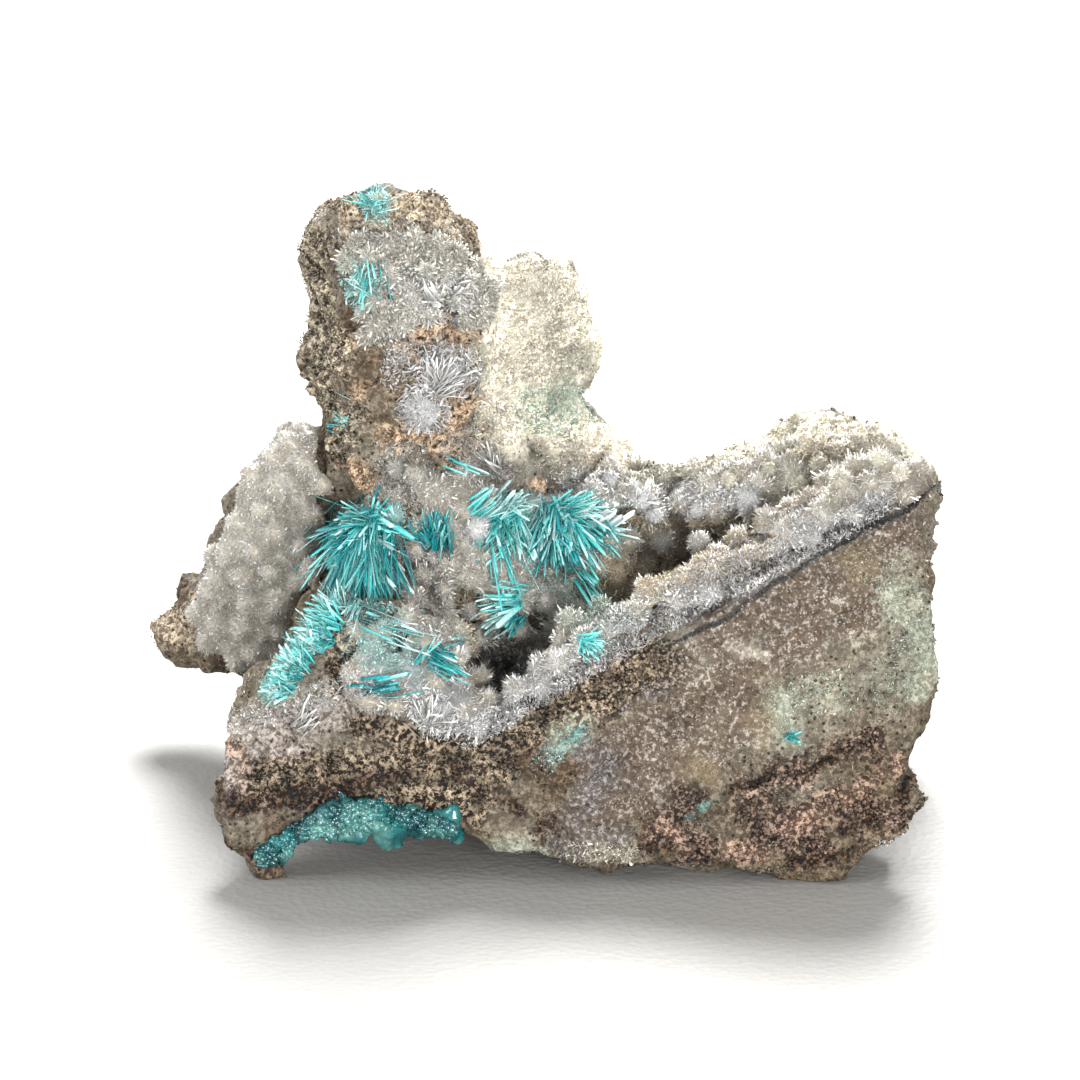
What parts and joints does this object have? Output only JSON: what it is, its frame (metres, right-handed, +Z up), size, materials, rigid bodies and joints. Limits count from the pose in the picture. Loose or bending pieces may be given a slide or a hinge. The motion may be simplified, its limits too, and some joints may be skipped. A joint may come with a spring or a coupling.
{
  "type": "mineral specimen",
  "caption": "Upright hand specimen of hemimorphite crystals lining a hollow in brown limonite rock, with sprays of blue-green aurichalcite blades.",
  "frame": {"origin": "on the plane the rock stands on, under the middle of its bounding box", "axes": "+Z up; the broken front face looks towards -Y; +X is the long way of the rock, towards the low hump"},
  "size_m": [0.0652, 0.0422, 0.051],
  "materials": {
    "limonite": "earthy, porous, matte",
    "hemimorphite": "clear glassy crystals",
    "aurichalcite": "pearly translucent blades"
  },
  "bodies": {
    "root": {"matrix": "limonite", "hollow_crust": "hemimorphite", "lobe_crust": "hemimorphite", "column_crust": "hemimorphite", "under_crust": "aurichalcite", "spray_left": "aurichalcite", "spray_middle": "aurichalcite", "spray_right": "aurichalcite", "spray_low": "aurichalcite", "spray_dark": "aurichalcite", "slope_upper": "aurichalcite", "slope_lower": "aurichalcite", "spray_dome": "aurichalcite", "spray_top": "aurichalcite", "spray_column": "aurichalcite"}
  },
  "joints": []
}
